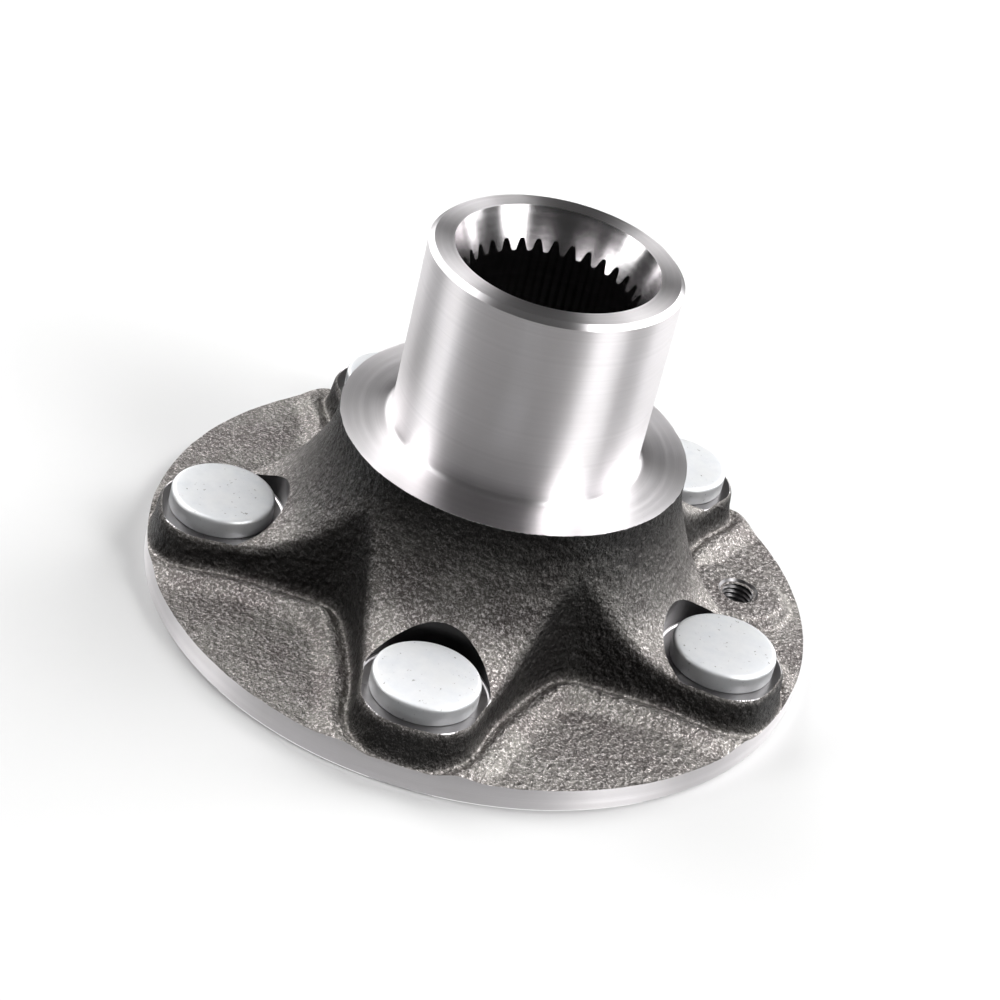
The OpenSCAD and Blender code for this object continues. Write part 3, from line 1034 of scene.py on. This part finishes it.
def paper_finish():
    """Pale floor: it keeps the hub's shadow, glows in reflections with painted light and shade by
    distance, and is clear from below.
    """
    finish, n, surface = plain_shader("bench_paper")
    path = n.add("ShaderNodeLightPath")
    tone = n.mix((path, "Is Camera Ray"), grey(FLOOR_TONE), grey(FLOOR_SEEN))
    paper = n.add("ShaderNodeBsdfDiffuse", Color=tone)
    away = n.length((n.add("ShaderNodeTexCoord"), "Object"))
    # Painted light just outside the rim and painted shade round the hub, in reflections only
    near = n.ramp(n.math("DIVIDE", away, MIRRORED_FAR), MIRRORED_STOPS)
    strength = n.math("MULTIPLY", mirrored_or_through(n, path), near)
    glow = n.add("ShaderNodeEmission", Color=grey(1.0), Strength=strength)
    lit = n.add("ShaderNodeAddShader", in0=(paper, 0), in1=(glow, 0))
    below = n.add("ShaderNodeNewGeometry"), "Backfacing"
    clear = n.add("ShaderNodeBsdfTransparent")
    both = n.add("ShaderNodeMixShader", in0=below, in1=(lit, 0), in2=(clear, 0))
    n.feed((both, 0), surface)
    return finish


def studio_finish():
    """Studio walls by direction: white paper, dark cards and tall soft boxes, with a dark ceiling."""
    finish, n, surface = plain_shader("studio_cards")
    place = n.add("ShaderNodeTexCoord"), "Object"
    split = n.add("ShaderNodeSeparateXYZ", Vector=place)
    turn = n.math("ARCTAN2", (split, "Y"), (split, "X"))
    share = n.math("FRACT", n.math("DIVIDE", turn, math.tau))
    around = n.ramp(share, [(azimuth / 360, bright) for azimuth, bright in WALL_STOPS])
    rise = n.math("DIVIDE", (split, "Z"), n.length(place))
    mixed = n.mix(n.ramp(rise, CEILING_SHARE), around, grey(CEILING_TONE))
    glow = n.add("ShaderNodeEmission", Color=mixed, Strength=WALL_STRENGTH)
    n.feed((glow, 0), surface)
    return finish


# Studio

def floor():
    """Bench top at the wheel face, with an opening under the flange for the studs and the spigot."""
    deselect()
    bpy.ops.mesh.primitive_circle_add(vertices=128, radius=OPENING_R * MM,
                                      location=(0, 0, BENCH_Z * MM))
    piece = settle(named("bench"))
    edit(piece)
    bpy.ops.mesh.select_mode(type="EDGE")
    bpy.ops.mesh.select_all(action="SELECT")
    last = (OPENING_R, BENCH_Z)
    for r in BENCH_RADII:
        ring_out(r, BENCH_Z, last)
        last = (r, BENCH_Z)
    face_outward()
    leave()
    if piece.data.polygons[0].normal.z < 0:
        piece.data.flip_normals()
    piece.data.materials.append(paper_finish())


def walls():
    """Half a sphere round the bench for the cards and soft boxes that the metal mirrors."""
    deselect()
    bpy.ops.mesh.primitive_uv_sphere_add(segments=96, ring_count=48, radius=WALL_R)
    piece = named("studio_walls")
    edit(piece)
    bpy.ops.mesh.select_all(action="SELECT")
    bpy.ops.mesh.bisect(plane_co=(0, 0, 0), plane_no=(0, 0, 1), clear_inner=True)
    leave()
    piece.data.materials.append(studio_finish())
    piece.visible_camera = False
    piece.visible_shadow = False


def world():
    """White wherever the camera looks past the bench, and the same in reflections."""
    scene = bpy.context.scene
    scene.world = bpy.data.worlds.new("white_room")
    scene.world.use_nodes = True
    n = Nodes(scene.world.node_tree)
    path = n.add("ShaderNodeLightPath")
    seen = n.math("MAXIMUM", (path, "Is Camera Ray"), mirrored_or_through(n, path))
    strength = n.math("ADD", n.math("MULTIPLY", seen, WORLD_SEEN_MORE), WORLD_DIM)
    background = n.tree.nodes["Background"]
    n.feed(grey(1.0), background.inputs["Color"])
    n.feed(strength, background.inputs["Strength"])
    scene.view_settings.view_transform = "Standard"


def lamp(name, azimuth, elevation, side, power):
    """A square soft light that looks at the hub."""
    a, e = math.radians(azimuth), math.radians(elevation)
    towards = Vector((math.cos(a) * math.cos(e), math.sin(a) * math.cos(e), math.sin(e)))
    bpy.ops.object.light_add(type="AREA", location=towards * LAMP_DISTANCE)
    light = bpy.context.object
    light.name = name
    light.data.shape = "SQUARE"
    light.data.size = side
    light.data.energy = power
    light.rotation_euler = (-towards).to_track_quat("-Z", "Y").to_euler()


def camera():
    data = bpy.data.cameras.new("camera")
    eye = bpy.data.objects.new("camera", data)
    bpy.context.collection.objects.link(eye)
    data.sensor_width = SENSOR_W
    data.lens = LENS
    data.clip_start, data.clip_end = 0.01, 20.0
    turn = Euler([math.radians(angle) for angle in CAMERA_TURN])
    eye.matrix_world = Matrix.Translation(CAMERA_PLACE) @ turn.to_matrix().to_4x4()
    bpy.context.scene.camera = eye


grain, lines = blasted_grain(), tool_lines()
body = hub_body([forged_finish(grain)] + [machined_finish(name, lines, grain) for name in MACHINED])
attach(body, "root")
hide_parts("hub")
for number, stud in enumerate(wheel_studs(zinc_finish(grain)), 1):
    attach(stud, "root")
    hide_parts(f"wheel_stud_{number}")
floor()
walls()
world()
for name, setting in LAMPS.items():
    lamp(name, *setting)
camera()
